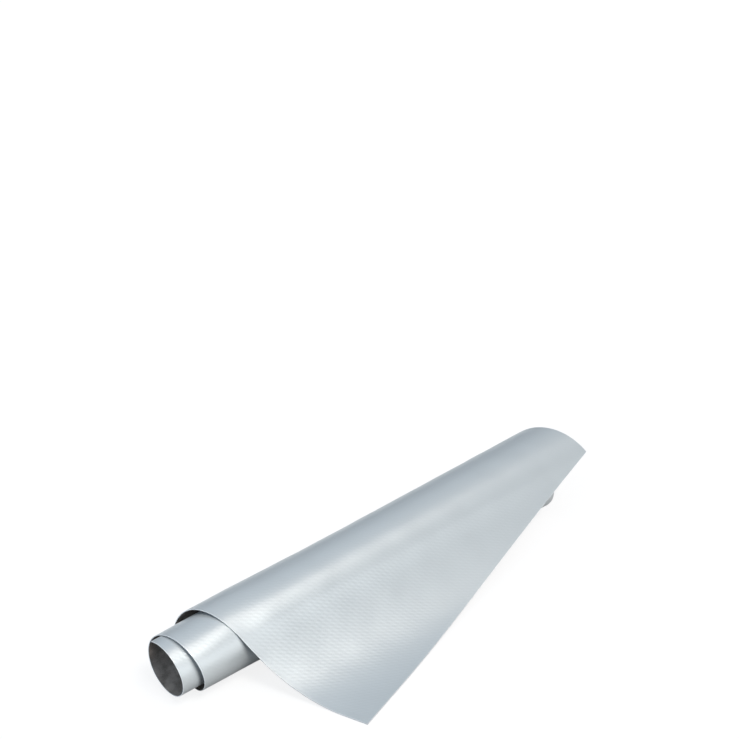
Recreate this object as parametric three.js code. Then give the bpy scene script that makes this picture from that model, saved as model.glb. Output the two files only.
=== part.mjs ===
import * as THREE from "three";

// A thin baking mat lying loosely rolled up, with its free end drawn out over the table.
// Millimetres, +Z up, the table is z = 0, the roll runs along X and the free end comes towards -Y.

const radians = (degrees) => (degrees * Math.PI) / 180;
const fullTurn = 2 * Math.PI;

// The mat laid flat
const matWidth = 330; // along the roll
const matLength = 400; // the way it is rolled
const faceCoat = 0.15; // silver coat, on the outside of the roll
const wovenCore = 0.3; // glass-fibre cloth
const backCoat = 0.15; // dark coat, on the inside of the roll

// The roll
const rollRadius = 23.9; // mean bend of the outermost turn
const sag = 0.17; // share by which the top and underside bend less than that, and the sides more
const turnGap = 2.7; // air between one turn and the next, on average
const innerEndGap = 0.4; // air between the inner end and the turn it springs against
const innerEndAngle = radians(110); // stretch at the inner end that bends less and less
const coneReach = 1030; // from the inner left corner to the point where the taper would close

// The free end
const slopeAngle = radians(53); // steepest fall, just below the roll
const landingRadius = 74; // hollow bend from the slope to the table
const landingShare = 0.95; // of the whole fall, the most that the hollow bend may take
const flatRun = 14; // lies on the table behind the outer left corner

const foldAngle = radians(4); // largest bend between neighbouring flat strips of the sheet
const sheetThickness = faceCoat + wovenCore + backCoat;
const turnPitch = sheetThickness + turnGap;

// Extra radius with which the inner end springs out to just short of the turn around it
function springRadius(endHeading) {
  const pitchThere = turnPitch * (1 - (sag / 3) * Math.cos(2 * endHeading));
  const springOut = pitchThere - sheetThickness - innerEndGap;
  return (springOut * innerEndAngle) / (innerEndAngle - Math.sin(innerEndAngle));
}

// Bend radius where the sheet has this heading: the same up to the crest, then tighter with every turn
// and sagging into an oval under the mat's own weight
function windingRadius(heading, endHeading) {
  const wound = Math.min(0, heading);
  const sagged = (rollRadius + (turnPitch * wound) / fullTurn) * (1 + sag * Math.cos(2 * wound));
  const relaxed = THREE.MathUtils.clamp((endHeading + innerEndAngle - heading) / innerEndAngle, 0, 1);
  return sagged + springRadius(endHeading) * relaxed;
}

// A bend as short straight pieces
function bend(from, to, radiusAt) {
  const count = Math.ceil(Math.abs(to - from) / foldAngle);
  const turn = (to - from) / count;
  return Array.from({ length: count }, (_, k) => {
    const heading = from + (k + 0.5) * turn;
    return { heading, turn, length: 2 * radiusAt(heading) * Math.sin(Math.abs(turn) / 2) };
  });
}

function straight(heading, length) {
  return { heading, turn: 0, length };
}

function trace(pieces) {
  const points = [{ y: 0, z: 0 }];
  for (const { heading, length } of pieces) {
    const { y, z } = points.at(-1);
    points.push({ y: y + length * Math.cos(heading), z: z + length * Math.sin(heading) });
  }
  return points;
}

// Middle line of the sheet in the section through the inner left corner, from the free end inward,
// with the roll's underside at y = z = 0
function baseSection(endHeading) {
  const underHeading = -fullTurn / 2; // the sheet runs back level under the roll
  const spare = fullTurn / 2; // wound further than the mat reaches
  const radiusAt = (heading) => windingRadius(heading, endHeading);
  const overRoll = bend(slopeAngle, underHeading, radiusAt);
  const inward = bend(underHeading, endHeading - spare, radiusAt);
  const rise = -trace(overRoll).at(-1).z;

  const dropPerRadius = 1 - Math.cos(slopeAngle);
  const landing = Math.min(landingRadius, (landingShare * rise) / dropPerRadius);
  const slopeLength = (rise - landing * dropPerRadius) / Math.sin(slopeAngle);
  const freeEnd = [
    straight(0, flatRun),
    ...bend(0, slopeAngle, () => landing),
    straight(slopeAngle, slopeLength),
  ];
  const pieces = [...freeEnd, ...overRoll, ...inward];
  const points = trace(pieces);
  const underside = points[freeEnd.length + overRoll.length];
  return { pieces, points: points.map(({ y, z }) => ({ y: y - underside.y, z: z - underside.z })) };
}

// The sheet bends along straight lines that all run through one point, the apex, so it rolls up
// without stretching. Laid flat, those lines fan out from the apex, and the inner end lies along the last.
const apex = new THREE.Vector3(-coneReach, 0, 0);
const outerLeft = Math.atan2(matLength, coneReach);
const outerRight = Math.atan2(matLength, coneReach + matWidth);

// Stretch on the mat of the line at this angle to the inner end, as distances from the apex
function lineOnMat(angle) {
  const from = coneReach / Math.cos(angle);
  const rightSide = (coneReach + matWidth) / Math.cos(angle);
  const outerEnd = angle < outerLeft ? matLength / Math.sin(angle) : from;
  return { from, to: Math.min(rightSide, outerEnd) };
}

// Fold lines from the outer left corner inward, each with its direction in space
function foldLines(endHeading) {
  const { pieces, points } = baseSection(endHeading);
  const directions = points.map(({ y, z }) => new THREE.Vector3(coneReach, y, z).normalize());
  const lines = [];
  let innerHeading = pieces.at(-1).heading;
  let angle = outerLeft;
  for (let k = 0; k < pieces.length && angle > 0; k += 1) {
    const width = directions[k].angleTo(directions[k + 1]);
    const across = directions[k + 1].clone().addScaledVector(directions[k], -Math.cos(width)).normalize();
    const corners = [outerRight, 0].filter((corner) => corner < angle && corner >= angle - width);
    for (const at of [angle, ...corners]) {
      const direction = directions[k].clone().multiplyScalar(Math.cos(angle - at));
      direction.addScaledVector(across, Math.sin(angle - at));
      lines.push({ direction, ...lineOnMat(at) });
    }
    angle -= width;
    if (angle <= 0) {
      innerHeading = pieces[k].heading + (0.5 + angle / width) * pieces[k].turn;
    }
  }
  return { lines, innerHeading };
}

// The inner end's heading depends on the winding and the winding on it, so it is found by repeating
const rounds = 12;
let endHeading = -2 * fullTurn;
for (let round = 0; round < rounds; round += 1) {
  endHeading = foldLines(endHeading).innerHeading;
}
const { lines } = foldLines(endHeading);

// Offset that keeps every strip of a layer evenly thick: square to a strip, mitred on a fold
const normals = lines.slice(1).map(({ direction }, k) =>
  new THREE.Vector3().crossVectors(lines[k].direction, direction).normalize(),
);
const mitres = lines.map((_, k) => {
  const before = normals[Math.max(k - 1, 0)];
  const after = normals[Math.min(k, normals.length - 1)];
  return before.clone().add(after).divideScalar(1 + before.dot(after));
});

// One layer between two heights over the sheet's middle, as a closed body
function layer(name, lower, upper, look) {
  const vertices = [];
  const corners = lines.map(({ direction, from, to }, k) => {
    const place = (height, distance) => {
      const spot = apex.clone().addScaledVector(mitres[k], height).addScaledVector(direction, distance);
      return vertices.push(spot) - 1;
    };
    const lowerFrom = place(lower, from);
    const upperFrom = place(upper, from);
    const single = to === from;
    const lowerTo = single ? lowerFrom : place(lower, to);
    const upperTo = single ? upperFrom : place(upper, to);
    return { lowerFrom, lowerTo, upperFrom, upperTo };
  });

  const faces = [];
  const quad = (a, b, c, d) => {
    for (const face of [[a, b, c], [a, c, d]]) {
      if (new Set(face).size === 3) faces.push(...face);
    }
  };
  corners.slice(1).forEach((next, k) => {
    const here = corners[k];
    quad(here.upperFrom, here.upperTo, next.upperTo, next.upperFrom);
    quad(here.lowerFrom, next.lowerFrom, next.lowerTo, here.lowerTo);
    quad(here.lowerFrom, here.upperFrom, next.upperFrom, next.lowerFrom);
    quad(here.lowerTo, next.lowerTo, next.upperTo, here.upperTo);
  });
  const first = corners[0];
  const last = corners.at(-1);
  quad(first.lowerFrom, first.lowerTo, first.upperTo, first.upperFrom);
  quad(last.lowerTo, last.lowerFrom, last.upperFrom, last.upperTo);

  const geometry = new THREE.BufferGeometry().setFromPoints(vertices);
  geometry.setIndex(faces);
  geometry.computeVertexNormals();
  const mesh = new THREE.Mesh(geometry, new THREE.MeshStandardMaterial(look));
  mesh.name = name;
  return mesh;
}

const top = sheetThickness / 2;
const coreTop = top - faceCoat;
const coreBottom = coreTop - wovenCore;
const mat = new THREE.Group();
mat.name = "baking_mat";
mat.add(
  layer("face_coat", coreTop, top, { color: 0xbcc4cc, roughness: 0.42, metalness: 0.6 }),
  layer("woven_core", coreBottom, coreTop, { color: 0xd8d4c6, roughness: 0.9, metalness: 0 }),
  layer("back_coat", -top, coreBottom, { color: 0x4c4d4f, roughness: 0.7, metalness: 0 }),
);

// Origin on the table under the middle of the mat
const box = new THREE.Box3().setFromObject(mat);
const centre = box.getCenter(new THREE.Vector3());
for (const mesh of mat.children) {
  mesh.geometry.translate(-centre.x, -centre.y, -box.min.z);
}

export default mat;
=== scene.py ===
from math import atan2, ceil, cos, pi, radians, sin

import bpy
import numpy as np
from mathutils import Euler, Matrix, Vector


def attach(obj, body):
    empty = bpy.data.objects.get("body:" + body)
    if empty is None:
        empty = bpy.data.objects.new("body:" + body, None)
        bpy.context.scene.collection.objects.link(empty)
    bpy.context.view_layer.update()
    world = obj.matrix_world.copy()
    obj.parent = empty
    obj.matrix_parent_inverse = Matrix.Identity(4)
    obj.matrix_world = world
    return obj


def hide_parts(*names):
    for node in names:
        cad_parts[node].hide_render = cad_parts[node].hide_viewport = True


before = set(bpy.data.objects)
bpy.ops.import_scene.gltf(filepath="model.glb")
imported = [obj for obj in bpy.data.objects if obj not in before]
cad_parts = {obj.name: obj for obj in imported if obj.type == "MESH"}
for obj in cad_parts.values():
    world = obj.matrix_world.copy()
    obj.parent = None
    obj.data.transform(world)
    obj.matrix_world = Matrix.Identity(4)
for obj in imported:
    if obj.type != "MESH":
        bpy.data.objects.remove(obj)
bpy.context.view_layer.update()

# A thin baking mat lying loosely rolled up, with its free end drawn out over the table.
# The form is worked out in millimetres, as on the solids. The meshes, the looks and the camera are in metres.

MM = 0.001
FULL_TURN = 2 * pi

# The mat laid flat
MAT_WIDTH = 330  # along the roll
MAT_LENGTH = 400  # the way it is rolled
FACE_COAT = 0.15  # silver coat, on the outside of the roll
WOVEN_CORE = 0.3  # glass-fibre cloth
BACK_COAT = 0.15  # dark coat, on the inside of the roll
SHEET = FACE_COAT + WOVEN_CORE + BACK_COAT

# The roll
ROLL_RADIUS = 24  # mean bend of the outermost turn
SAG = 0.17  # share by which the top and underside bend less than that, and the sides more
TURN_GAP = 2.7  # air between one turn and the next, on average
TURN_PITCH = SHEET + TURN_GAP
TURN_DRIFT = 0.6  # how much nearer each turn lies to the turn around it at the upper front
DRIFT_HEADING = radians(45)  # heading of the sheet there
UNDER_HEADING = -pi  # the sheet runs back level under the roll
INNER_END_GAP = 0.5  # air between the inner end and the turn it springs against
INNER_END_ANGLE = radians(100)  # stretch at the inner end that bends less and less
SPARE = pi  # wound further than the mat reaches
CONE_REACH = 1030  # from the inner left corner to the point where the taper would close

# The free end
SLOPE_ANGLE = radians(53)  # steepest fall, just below the roll
LANDING_RADIUS = 74  # hollow bend from the slope to the table
FLAT_RUN = 14  # lies on the table behind the outer left corner

# Fineness of the mesh
FOLD_ANGLE = radians(2)  # largest bend between neighbouring strips of the sheet
FLAT_STEPS = 5  # strips of the flat run
SLOPE_STEPS = 2  # strips of the straight slope
COLUMNS = 56  # faces along each strip
SHARP_ANGLE = radians(40)  # edges that bend more than this are shaded sharp


def spring_radius(end_heading):
    """Extra radius with which the inner end springs out to just short of the turn around it."""
    pitch_there = TURN_PITCH * (1 - SAG / 3 * cos(2 * end_heading))
    pitch_there -= TURN_DRIFT * cos(end_heading - DRIFT_HEADING)
    spring_out = pitch_there - SHEET - INNER_END_GAP
    return spring_out * INNER_END_ANGLE / (INNER_END_ANGLE - sin(INNER_END_ANGLE))


def winding_radius(heading, end_heading):
    """Bend radius where the sheet has this heading: the same up to the crest, then tighter with every turn,
    sagged into an oval, and drifting towards the front of the turn around it."""
    wound = min(0, heading)
    sagged = (ROLL_RADIUS + TURN_PITCH * wound / FULL_TURN) * (1 + SAG * cos(2 * wound))
    drifted = TURN_DRIFT / pi * sin(wound - DRIFT_HEADING)
    relaxed = min(1, max(0, (end_heading + INNER_END_ANGLE - heading) / INNER_END_ANGLE))
    return sagged + drifted + spring_radius(end_heading) * relaxed


def bend(start, stop, radius_at):
    """A bend as short straight pieces: heading, turn and length of each."""
    count = ceil(abs(stop - start) / FOLD_ANGLE)
    turn = (stop - start) / count
    headings = [start + (k + 0.5) * turn for k in range(count)]
    return [(heading, turn, 2 * radius_at(heading) * sin(abs(turn) / 2)) for heading in headings]


def straight(heading, length, steps):
    """A straight stretch as equal pieces of the same kind."""
    return [(heading, 0, length / steps)] * steps


def trace(pieces):
    """Points along the pieces, from y = z = 0."""
    points = [(0, 0)]
    for heading, _, length in pieces:
        y, z = points[-1]
        points.append((y + length * cos(heading), z + length * sin(heading)))
    return points


def base_section(end_heading):
    """Middle line of the sheet in the section through the inner left corner, from the free end inward,
    with the roll's underside at y = z = 0."""
    def radius_at(heading):
        return winding_radius(heading, end_heading)

    over_roll = bend(SLOPE_ANGLE, UNDER_HEADING, radius_at)
    inward = bend(UNDER_HEADING, end_heading - SPARE, radius_at)
    rise = -trace(over_roll)[-1][1]
    slope_length = (rise - LANDING_RADIUS * (1 - cos(SLOPE_ANGLE))) / sin(SLOPE_ANGLE)
    free_end = straight(0, FLAT_RUN, FLAT_STEPS)
    free_end += bend(0, SLOPE_ANGLE, lambda heading: LANDING_RADIUS)
    free_end += straight(SLOPE_ANGLE, slope_length, SLOPE_STEPS)
    pieces = free_end + over_roll + inward
    points = trace(pieces)
    under_y, under_z = points[len(free_end) + len(over_roll)]
    return pieces, [(y - under_y, z - under_z) for y, z in points]


# The sheet bends along straight lines that all run through one point, the apex, so it rolls up without
# stretching. Laid flat, those lines fan out from the apex, and the inner end lies along the last.
APEX = np.array([-CONE_REACH, 0, 0])
OUTER_LEFT = atan2(MAT_LENGTH, CONE_REACH)
OUTER_RIGHT = atan2(MAT_LENGTH, CONE_REACH + MAT_WIDTH)


def line_on_mat(angle):
    """Where the line at this angle to the inner end enters and leaves the mat, from the apex."""
    enter = CONE_REACH / cos(angle)
    leave = (CONE_REACH + MAT_WIDTH) / cos(angle)
    if angle >= OUTER_LEFT:
        return enter, enter
    if angle > OUTER_RIGHT:
        leave = MAT_LENGTH / sin(angle)
    return enter, leave


def fold_lines(end_heading):
    """Fold lines from the outer left corner inward, each as its angle, direction, start and end, and the
    heading that the inner end comes out with."""
    pieces, points = base_section(end_heading)
    directions = np.array([(CONE_REACH, y, z) for y, z in points])
    directions /= np.linalg.norm(directions, axis=1)[:, None]
    lines = []
    angle = OUTER_LEFT
    inner_heading = pieces[-1][0]
    for here, there, (heading, turn, _) in zip(directions, directions[1:], pieces):
        if angle <= 0:
            break
        width = np.arccos(min(1, here @ there))
        across = there - here * cos(width)
        across /= np.linalg.norm(across)
        corners = [corner for corner in (OUTER_RIGHT, 0) if angle - width <= corner < angle]
        for at in [angle, *corners]:
            direction = here * cos(angle - at) + across * sin(angle - at)
            lines.append((at, direction, *line_on_mat(at)))
        angle -= width
        if angle <= 0:
            inner_heading = heading + (0.5 + angle / width) * turn
    return lines, inner_heading


# The inner end's heading depends on the winding and the winding on it, so it is found by repeating
ROUNDS = 12
end_heading = -2 * FULL_TURN
for _ in range(ROUNDS):
    end_heading = fold_lines(end_heading)[1]
lines = fold_lines(end_heading)[0]

# Middle of the sheet on a grid of fold lines and columns, with its flat coordinates
angles = np.array([angle for angle, _, _, _ in lines])[:, None]
directions = np.array([direction for _, direction, _, _ in lines])
enters = np.array([enter for _, _, enter, _ in lines])[:, None]
leaves = np.array([leave for _, _, _, leave in lines])[:, None]
reach = enters + (leaves - enters) * np.linspace(0, 1, COLUMNS + 1)
middle = APEX + directions[:, None] * reach[..., None]
flat_u = reach * np.cos(angles) - CONE_REACH
flat_v = reach * np.sin(angles)

# Offset that keeps every strip of a layer evenly thick: square to a strip, mitred on a fold
normals = np.cross(directions[:-1], directions[1:])
normals /= np.linalg.norm(normals, axis=1)[:, None]
before = np.vstack([normals[:1], normals])
after = np.vstack([normals, normals[-1:]])
mitres = (before + after) / (1 + (before * after).sum(1))[:, None]


def ripple(length, heading, shift):
    """A shallow wave over the flat mat, with its crests square to the heading."""
    along = flat_u * cos(heading) + flat_v * sin(heading)
    return np.sin(FULL_TURN * along / length + shift)


# The sheet isn't quite even: shallow ripples, which die out where it lies on the table and at the inner end.
# Height, length, heading and shift of each.
RIPPLES = (
    (0.05, 41, radians(12), 0.4),
    (0.025, 23, radians(-31), 1.9),
    (0.02, 16, radians(64), 3.1),
)
CALM_OUTER = 45  # from the outer end, until the ripples have their full height
CALM_INNER = 60  # the same from the inner end
calm = np.clip((MAT_LENGTH - flat_v) / CALM_OUTER, 0, 1) * np.clip(flat_v / CALM_INNER, 0, 1)
ripples = sum(height * ripple(length, heading, shift) for height, length, heading, shift in RIPPLES)
unevenness = calm * ripples

# Near its left edge the sheet leaves the even roll in places: the outer turn stands off behind the crest and
# leans in on its front, the next turn swells under that edge and stands off low on its front, and the inner
# end leans in.
# Place from the inner end and from the left edge, half length, half depth and height of each.
BENDS = (
    (262, 0, 20, 115, 1.4),
    (297, 0, 14, 28, -0.9),
    (142, 34, 16, 20, 1.1),
    (160, 0, 12, 25, 1),
    (27, 0, 13, 22, -0.8),
)
for from_end, from_edge, half_length, half_depth, height in BENDS:
    away = ((flat_v - from_end) / half_length) ** 2 + ((flat_u - from_edge) / half_depth) ** 2
    unevenness += height * np.exp(-away)


def surface(height):
    """The grid at this height over the middle of the sheet."""
    return middle + mitres[:, None] * (height + unevenness)[..., None]


# The solids' origin is on the table under the middle of the mat
outside = np.concatenate([surface(SHEET / 2).reshape(-1, 3), surface(-SHEET / 2).reshape(-1, 3)])
low, high = outside.min(0), outside.max(0)
origin = np.array([(low[0] + high[0]) / 2, (low[1] + high[1]) / 2, low[2]])


def layer(name, lower, upper):
    """One layer of the sheet between two heights over its middle, as a closed mesh."""
    rows = len(lines)
    spots = []
    flat = []
    numbers = np.zeros((2, rows, COLUMNS + 1), int)
    for side, height in enumerate((lower, upper)):
        place = (surface(height) - origin) * MM
        for k in range(rows):
            for j in range(COLUMNS + 1):
                # The first line has no length: all of it is the outer left corner
                if k == 0 and j > 0:
                    numbers[side, k, j] = numbers[side, k, 0]
                    continue
                numbers[side, k, j] = len(spots)
                spots.append(place[k, j])
                flat.append((flat_u[k, j] * MM, flat_v[k, j] * MM))

    faces = []

    def quad(*corners):
        ring = list(dict.fromkeys(int(corner) for corner in corners))
        if len(ring) > 2:
            faces.append(ring)

    below, above = numbers
    last = rows - 1
    for k in range(last):
        for j in range(COLUMNS):
            quad(above[k, j], above[k, j + 1], above[k + 1, j + 1], above[k + 1, j])
            quad(below[k, j], below[k + 1, j], below[k + 1, j + 1], below[k, j + 1])
        quad(below[k, 0], above[k, 0], above[k + 1, 0], below[k + 1, 0])
        quad(below[k, -1], below[k + 1, -1], above[k + 1, -1], above[k, -1])
    for j in range(COLUMNS):
        quad(below[last, j + 1], below[last, j], above[last, j], above[last, j + 1])

    mesh = bpy.data.meshes.new(name)
    mesh.from_pydata(spots, [], faces)
    mesh.polygons.foreach_set("use_smooth", [True] * len(mesh.polygons))
    mesh.set_sharp_from_angle(angle=SHARP_ANGLE)
    laid_flat = mesh.uv_layers.new(name="flat")
    for loop in mesh.loops:
        laid_flat.uv[loop.index].vector = flat[loop.vertex_index]
    piece = bpy.data.objects.new(name, mesh)
    bpy.context.scene.collection.objects.link(piece)
    return piece


top = SHEET / 2
core_top = top - FACE_COAT
core_bottom = core_top - WOVEN_CORE
face = layer("mat_face", core_top, top)
core = layer("mat_core", core_bottom, core_top)
back = layer("mat_back", -top, core_bottom)

# Sockets of Blender's mix node that take and give colours
MIX_SHARE = 0
MIX_FIRST = 6
MIX_SECOND = 7
MIX_RESULT = 2


class Look:
    """A material with short ways to add nodes to it."""

    def __init__(self, name):
        self.material = bpy.data.materials.new(name)
        self.material.use_nodes = True
        self.tree = self.material.node_tree
        self.shader = self.tree.nodes["Principled BSDF"]

    def node(self, kind, **settings):
        made = self.tree.nodes.new(kind)
        for name, value in settings.items():
            setattr(made, name, value)
        return made

    def feed(self, socket, value):
        if isinstance(value, bpy.types.NodeSocket):
            self.tree.links.new(value, socket)
        else:
            socket.default_value = value

    def set(self, **values):
        """Feed the shader's sockets, with _ for a space in their names."""
        for name, value in values.items():
            self.feed(self.shader.inputs[name.replace("_", " ")], value)

    def calc(self, operation, *values):
        made = self.node("ShaderNodeMath", operation=operation)
        for socket, value in zip(made.inputs, values):
            self.feed(socket, value)
        return made.outputs["Value"]

    def weigh(self, first, second, share):
        """This share of the first value, and for the rest the second."""
        rest = self.calc("MULTIPLY", second, 1 - share)
        return self.calc("MULTIPLY_ADD", first, share, rest)

    def ramp(self, value, low, high):
        """0 at low, 1 at high, and smooth between."""
        made = self.node("ShaderNodeMapRange", interpolation_type="SMOOTHSTEP")
        self.feed(made.inputs["Value"], value)
        self.feed(made.inputs["From Min"], low)
        self.feed(made.inputs["From Max"], high)
        return made.outputs["Result"]

    def spread(self, value, low, high):
        """0 to 1 turned into low to high."""
        made = self.node("ShaderNodeMapRange")
        self.feed(made.inputs["Value"], value)
        self.feed(made.inputs["To Min"], low)
        self.feed(made.inputs["To Max"], high)
        return made.outputs["Result"]

    def blend(self, share, first, second):
        """The first colour where the share is 0, and the second where it is 1."""
        made = self.node("ShaderNodeMix", data_type="RGBA")
        self.feed(made.inputs[MIX_SHARE], share)
        self.feed(made.inputs[MIX_FIRST], first)
        self.feed(made.inputs[MIX_SECOND], second)
        return made.outputs[MIX_RESULT]

    def noise(self, place, size, detail):
        """Noise from 0 to 1, in lumps of about this size."""
        made = self.node("ShaderNodeTexNoise")
        self.feed(made.inputs["Vector"], place)
        self.feed(made.inputs["Scale"], 1 / size)
        self.feed(made.inputs["Detail"], detail)
        return made.outputs["Fac"]

    def bump(self, height, relief):
        """Let the surface stand out by this relief where the height is 1."""
        made = self.node("ShaderNodeBump")
        self.feed(made.inputs["Height"], height)
        self.feed(made.inputs["Distance"], relief)
        self.set(Normal=made.outputs["Normal"])


# The cloth is a twill of two over and two under, so its ribs run across the threads at 45 degrees.
# The threads round the roll lie in bunches as wide as a rib, and lean a little.
THREAD = 0.8 * MM
RIB_REPEAT = 4 * THREAD
LEAN = 0.18  # sideways, for each length along the mat
EDGE_HIGHLIGHT_WIDTH = 0.5 * MM  # width of the strip along the cut edges that is painted paler: a painted highlight where the edges catch the light


class ClothLook(Look):
    """A look that follows the weave, with u and v as places on the flat mat in metres."""

    def __init__(self, name):
        super().__init__(name)
        self.place = self.node("ShaderNodeUVMap", uv_map="flat").outputs["UV"]
        apart = self.node("ShaderNodeSeparateXYZ")
        self.feed(apart.inputs["Vector"], self.place)
        self.u = apart.outputs["X"]
        self.v = apart.outputs["Y"]

    def wave(self, along, length):
        return self.calc("SINE", self.calc("MULTIPLY", along, FULL_TURN / length))

    def swell(self, across):
        """Up from 0 to 1 and back again, once for each rib."""
        return self.calc("MULTIPLY_ADD", self.wave(across, RIB_REPEAT), 0.5, 0.5)

    def rib(self):
        """Ribs of the twill, 1 on their backs and 0 between them."""
        return self.swell(self.calc("SUBTRACT", self.u, self.v))

    def bunch(self):
        """Bunches of threads round the roll, 1 on their backs and 0 between them."""
        return self.swell(self.calc("MULTIPLY_ADD", self.v, -LEAN, self.u))

    def threads(self, rib):
        """Round backs of the threads: the ones along v lie on top on a rib, the ones along u between ribs."""
        lengthwise = self.wave(self.u, THREAD)
        crosswise = self.wave(self.v, THREAD)
        difference = self.calc("SUBTRACT", lengthwise, crosswise)
        return self.calc("MULTIPLY_ADD", difference, rib, crosswise)

    def painted_edge_highlight(self):
        """1 on the cut edges of the mat, fading out over the strip beside them: there a highlight is painted,
        where the edges catch the light.
        """
        sides = self.calc("MINIMUM", self.u, self.calc("SUBTRACT", MAT_WIDTH * MM, self.u))
        ends = self.calc("MINIMUM", self.v, self.calc("SUBTRACT", MAT_LENGTH * MM, self.v))
        return self.ramp(self.calc("MINIMUM", sides, ends), low=EDGE_HIGHLIGHT_WIDTH, high=0)


def silver_coat():
    """Satin and partly metallic, with the weave showing through."""
    deep = (0.597, 0.632, 0.638, 1)
    pale = (0.627, 0.664, 0.67, 1)
    edge_highlight = (0.86, 0.87, 0.87, 1)
    rib_height = 0.019 * MM
    thread_height = 0.2  # this and the next three are times a rib's height
    least_bunch_height = 0.2
    most_bunch_height = 1.2
    speckle_height = 1.2

    look = ClothLook("silver coat")
    rib = look.rib()
    mottle = look.noise(look.place, size=22 * MM, detail=3)
    patches = look.noise(look.place, size=5 * MM, detail=2)
    speckle = look.noise(look.place, size=0.7 * MM, detail=2)

    # The colour is a little darker between the ribs and lighter on their backs: a painted shade in the
    # grooves, blended with a mottle that differs at random.
    coat = look.blend(look.weigh(rib, mottle, share=0.25), deep, pale)
    # The cut edges and a thin strip beside them are painted pale: a painted highlight where the edges catch
    # the light.
    look.set(Base_Color=look.blend(look.painted_edge_highlight(), coat, edge_highlight), Metallic=0.45)
    uneven = look.weigh(speckle, mottle, share=0.4)
    look.set(Roughness=look.spread(uneven, low=0.355, high=0.405))

    ribs = look.calc("MULTIPLY_ADD", look.threads(rib), thread_height, rib)
    bunch_height = look.spread(patches, least_bunch_height, most_bunch_height)
    bunches = look.calc("MULTIPLY", look.bunch(), bunch_height)
    weave = look.calc("ADD", ribs, bunches)
    look.bump(look.calc("MULTIPLY_ADD", speckle, speckle_height, weave), relief=rib_height)
    return look.material


def glass_cloth():
    """Pale and dull: it shows only along the cut edges."""
    deep = (0.74, 0.73, 0.70, 1)
    pale = (0.88, 0.88, 0.86, 1)
    thread_height = 0.04 * MM

    look = ClothLook("glass cloth")
    fibre = look.noise(look.place, size=0.25 * MM, detail=3)
    look.set(Base_Color=look.blend(fibre, deep, pale))
    look.set(Roughness=look.spread(fibre, low=0.75, high=0.95))
    look.bump(look.calc("ADD", look.threads(look.rib()), fibre), relief=thread_height)
    return look.material


def dark_coat():
    """Matt and mottled, with the weave showing through."""
    deep = (0.118, 0.102, 0.089, 1)
    pale = (0.41, 0.357, 0.313, 1)
    edge_highlight = (0.3, 0.3, 0.3, 1)
    rib_height = 0.03 * MM
    thread_height = 0.3  # times a rib's height

    look = ClothLook("dark coat")
    rib = look.rib()
    mottle = look.noise(look.place, size=9 * MM, detail=4)
    speckle = look.noise(look.place, size=0.5 * MM, detail=2)

    tone = look.ramp(look.weigh(mottle, speckle, share=0.7), low=0.3, high=0.7)
    coat = look.blend(tone, deep, pale)
    # The cut edges and a thin strip beside them are painted a lighter grey: a painted highlight where the
    # edges catch the light.
    look.set(Base_Color=look.blend(look.painted_edge_highlight(), coat, edge_highlight))
    look.set(Roughness=look.spread(mottle, low=0.5, high=0.68))
    look.bump(look.calc("MULTIPLY_ADD", look.threads(rib), thread_height, rib), relief=rib_height)
    return look.material


face.data.materials.append(silver_coat())
core.data.materials.append(glass_cloth())
back.data.materials.append(dark_coat())

# Floor
FLOOR_SIZE = 30
FLOOR_DROP = 0.2 * MM  # below the mat
FLOOR_GREY = 0.16
FLOOR_GLOW = 1 - FLOOR_GREY  # makes the grey up to white
SHADE_REACH = 80 * MM  # how far from the mat the floor is shaded
SHADE_SAMPLES = 8


def floor_look():
    """White to the eye and to glass, white but shaded close to the mat to gloss, and grey to stray light."""
    look = Look("floor")
    look.set(Base_Color=(FLOOR_GREY, FLOOR_GREY, FLOOR_GREY, 1), Roughness=0.9)
    rays = look.node("ShaderNodeLightPath")
    shade = look.node("ShaderNodeAmbientOcclusion", samples=SHADE_SAMPLES)
    look.feed(shade.inputs["Distance"], SHADE_REACH)
    mirrored = look.calc("MULTIPLY", rays.outputs["Is Glossy Ray"], shade.outputs["AO"])
    seen = look.calc("MAXIMUM", rays.outputs["Is Camera Ray"], mirrored)
    seen = look.calc("MAXIMUM", seen, rays.outputs["Is Transmission Ray"])
    look.set(Emission_Color=(1, 1, 1, 1), Emission_Strength=look.calc("MULTIPLY", seen, FLOOR_GLOW))
    return look.material


bpy.ops.mesh.primitive_plane_add(size=FLOOR_SIZE)
floor = bpy.context.object
floor.name = "floor"
floor.location.z = -FLOOR_DROP
floor.data.materials.append(floor_look())

# Light
COOL = (0.84, 1, 1.19)
NEUTRAL = (1, 1, 1)
MELLOW = (1.04, 1, 0.955)
WARM = (1.1, 1, 0.92)
SKY_STRENGTH = 0.18

world = bpy.data.worlds.new("studio")
bpy.context.scene.world = world
world.use_nodes = True
sky = world.node_tree.nodes["Background"]
sky.inputs["Color"].default_value = (*COOL, 1)
sky.inputs["Strength"].default_value = SKY_STRENGTH


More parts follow.
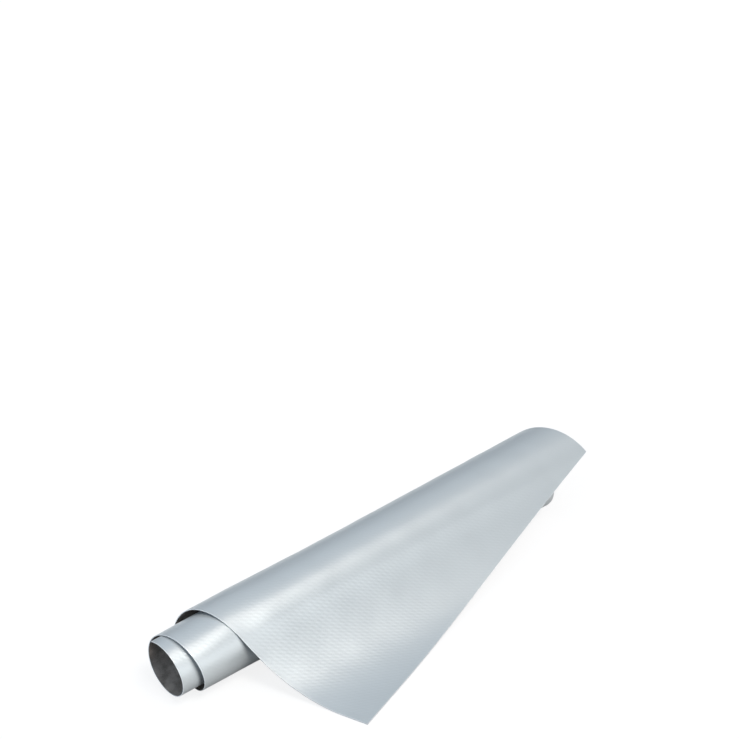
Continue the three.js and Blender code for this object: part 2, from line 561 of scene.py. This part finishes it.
def sun(name, elevation, azimuth, width, strength, colour):
    """A soft lamp far away: elevation, azimuth from +X towards +Y and apparent width are in degrees."""
    lamp = bpy.data.lights.new(name, "SUN")
    lamp.energy = strength
    lamp.angle = radians(width)
    lamp.color = colour
    rise = radians(elevation)
    turn = radians(azimuth)
    towards = Vector((cos(rise) * cos(turn), cos(rise) * sin(turn), sin(rise)))
    holder = bpy.data.objects.new(name, lamp)
    holder.rotation_euler = towards.to_track_quat("Z", "Y").to_euler()
    bpy.context.scene.collection.objects.link(holder)


sun("key", elevation=58, azimuth=270, width=20, strength=1.79, colour=MELLOW)
sun("glint", elevation=66, azimuth=332, width=16, strength=0.22, colour=WARM)
sun("front", elevation=10, azimuth=285, width=50, strength=0.92, colour=NEUTRAL)
sun("left", elevation=32, azimuth=190, width=50, strength=1.26, colour=COOL)
sun("rear", elevation=60, azimuth=90, width=80, strength=0.3, colour=COOL)

# Camera, fitted to the outlines in the photo
PHOTO_SIZE = 739  # pixels each way
FOCAL_LENGTH = 1125.704  # pixels
AXIS_ROW = 490  # pixels from the photo's top to where the camera's axis meets it
SENSOR_WIDTH = 36  # millimetres, as Blender counts it
CAMERA_PLACE = (-0.492307, -0.442030, 0.432534)
CAMERA_DIP = radians(27.69923)  # down from level
CAMERA_TURN = radians(44.83591)  # from +Y towards +X

camera_data = bpy.data.cameras.new("camera")
camera_data.sensor_width = SENSOR_WIDTH
camera_data.lens = SENSOR_WIDTH * FOCAL_LENGTH / PHOTO_SIZE
camera_data.shift_y = AXIS_ROW / PHOTO_SIZE - 0.5
camera = bpy.data.objects.new("camera", camera_data)
camera.location = CAMERA_PLACE
camera.rotation_euler = Euler((pi / 2 - CAMERA_DIP, 0, -CAMERA_TURN))
bpy.context.scene.collection.objects.link(camera)
bpy.context.scene.camera = camera
bpy.context.scene.view_settings.view_transform = "Standard"

# What the pieces stand for
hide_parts("face_coat")
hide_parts("woven_core")
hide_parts("back_coat")
for piece in (face, core, back):
    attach(piece, "root")
